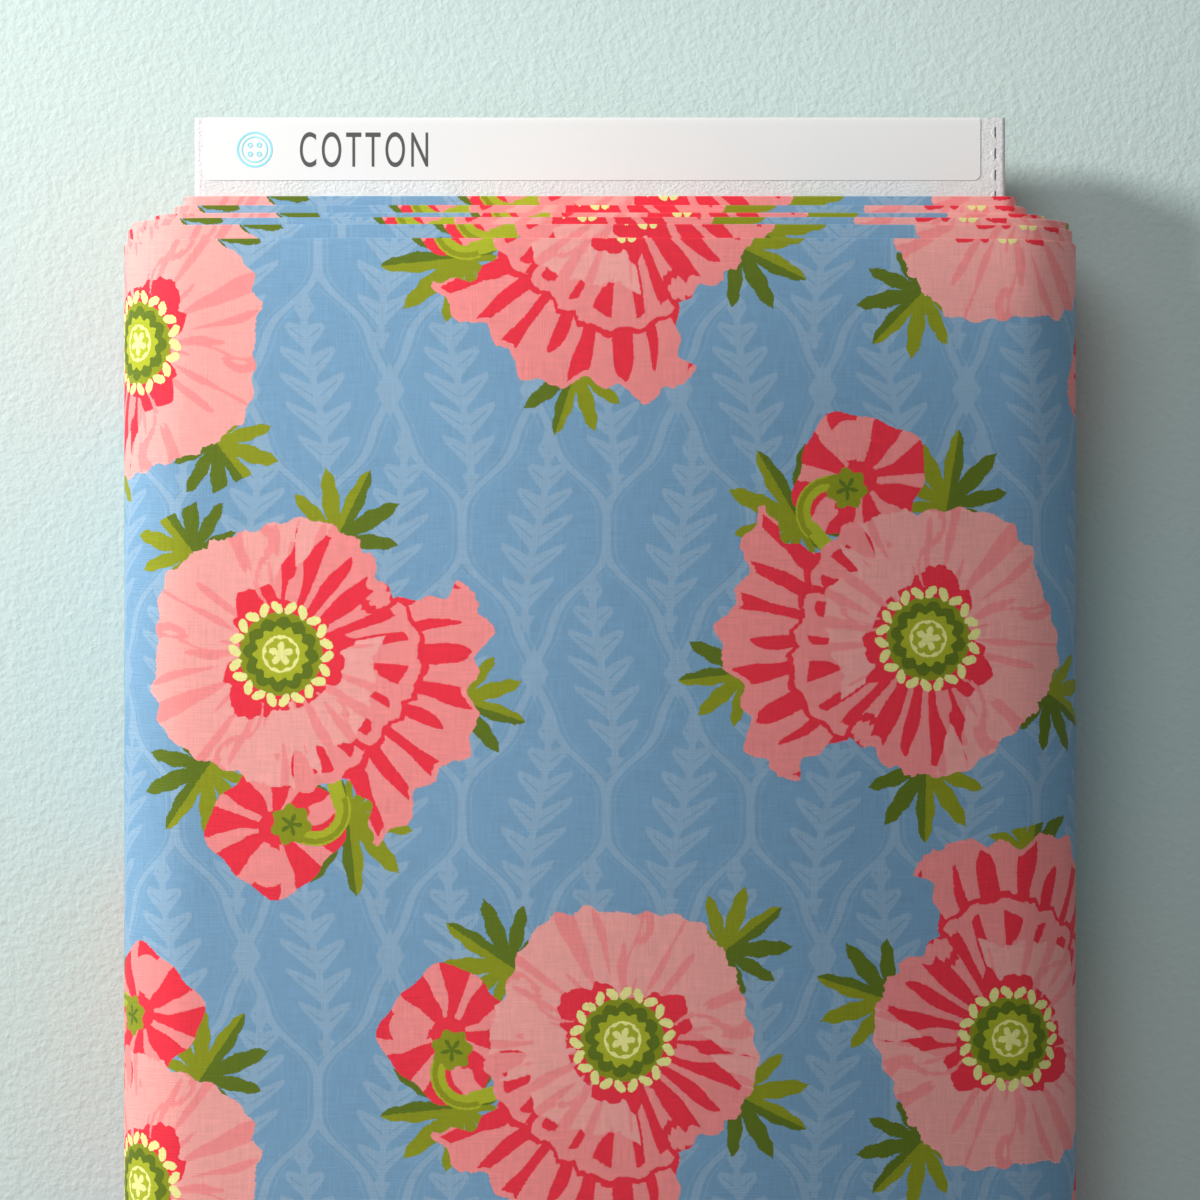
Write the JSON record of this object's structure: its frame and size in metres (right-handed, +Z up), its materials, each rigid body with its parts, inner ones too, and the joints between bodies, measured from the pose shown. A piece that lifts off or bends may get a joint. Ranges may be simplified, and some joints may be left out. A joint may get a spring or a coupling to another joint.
{
  "type": "fabric bolt",
  "caption": "Fabric bolt: doubled printed quilting cotton wound in stepped turns round a flat, hollow, folded cardboard board with a sticker over one end.",
  "frame": {"origin": "centre of the flat underside that the bolt lies on, at its lowest level", "axes": "+Y along the bolt towards the labelled end of the board, +X across it to the right as seen from above, +Z up through its thickness"},
  "size_m": [0.223, 0.5896, 0.052],
  "materials": {
    "board_card": "matte",
    "label_paper": "matte",
    "printed_cotton": "matte"
  },
  "bodies": {
    "wound_cloth": {"turns_1_to_3": "printed_cotton", "turns_4_to_6": "printed_cotton", "turns_7_to_12": "printed_cotton", "turns_13_to_19": "printed_cotton", "turn_20": "printed_cotton", "last_turn_back": "printed_cotton"},
    "board": {"board_front_panel": "board_card", "board_left_wall": "board_card", "board_right_wall": "board_card", "board_back_left": "board_card", "board_back_right": "board_card", "centre_rib_left": "board_card", "centre_rib_right": "board_card", "label_end_panel": "board_card", "label_end_tongue": "board_card", "label": "label_paper"},
    "end_flap": {"open_end_panel": "board_card"},
    "end_tongue": {"open_end_tongue": "board_card"},
    "turn_side": {"last_turn_side": "printed_cotton"},
    "turn_face": {"last_turn_face": "printed_cotton"},
    "turn_free_end": {"last_turn_free_end": "printed_cotton"}
  },
  "joints": [
    {"name": "board_slide", "type": "slide", "parent": "wound_cloth", "child": "board", "axis": [0, 1, 0], "range_m": [0, 0.6]},
    {"name": "unroll_side", "type": "hinge", "parent": "wound_cloth", "child": "turn_side", "pos_m": [-0.10774, 0, 0.00376], "axis": [0, -1, 0], "range_deg": [0, 90]},
    {"name": "unroll_face", "type": "hinge", "parent": "turn_side", "child": "turn_face", "pos_m": [-0.10774, 0, 0.04824], "axis": [0, -1, 0], "range_deg": [0, 90]},
    {"name": "unroll_free_end", "type": "hinge", "parent": "turn_face", "child": "turn_free_end", "pos_m": [0.10774, 0, 0.04824], "axis": [0, -1, 0], "range_deg": [0, 90]},
    {"name": "open_flap", "type": "hinge", "parent": "board", "child": "end_flap", "pos_m": [0, -0.2899, 0.03375], "axis": [-1, 0, 0], "range_deg": [0, 75]},
    {"name": "untuck_tongue", "type": "hinge", "parent": "end_flap", "child": "end_tongue", "pos_m": [0, -0.2883, 0.02], "axis": [-1, 0, 0], "range_deg": [-75, 0]}
  ],
  "couplings": [
    {"joint": "unroll_face", "follows": "unroll_side", "ratio": 1},
    {"joint": "unroll_free_end", "follows": "unroll_side", "ratio": 1},
    {"joint": "untuck_tongue", "follows": "open_flap", "ratio": -1}
  ]
}
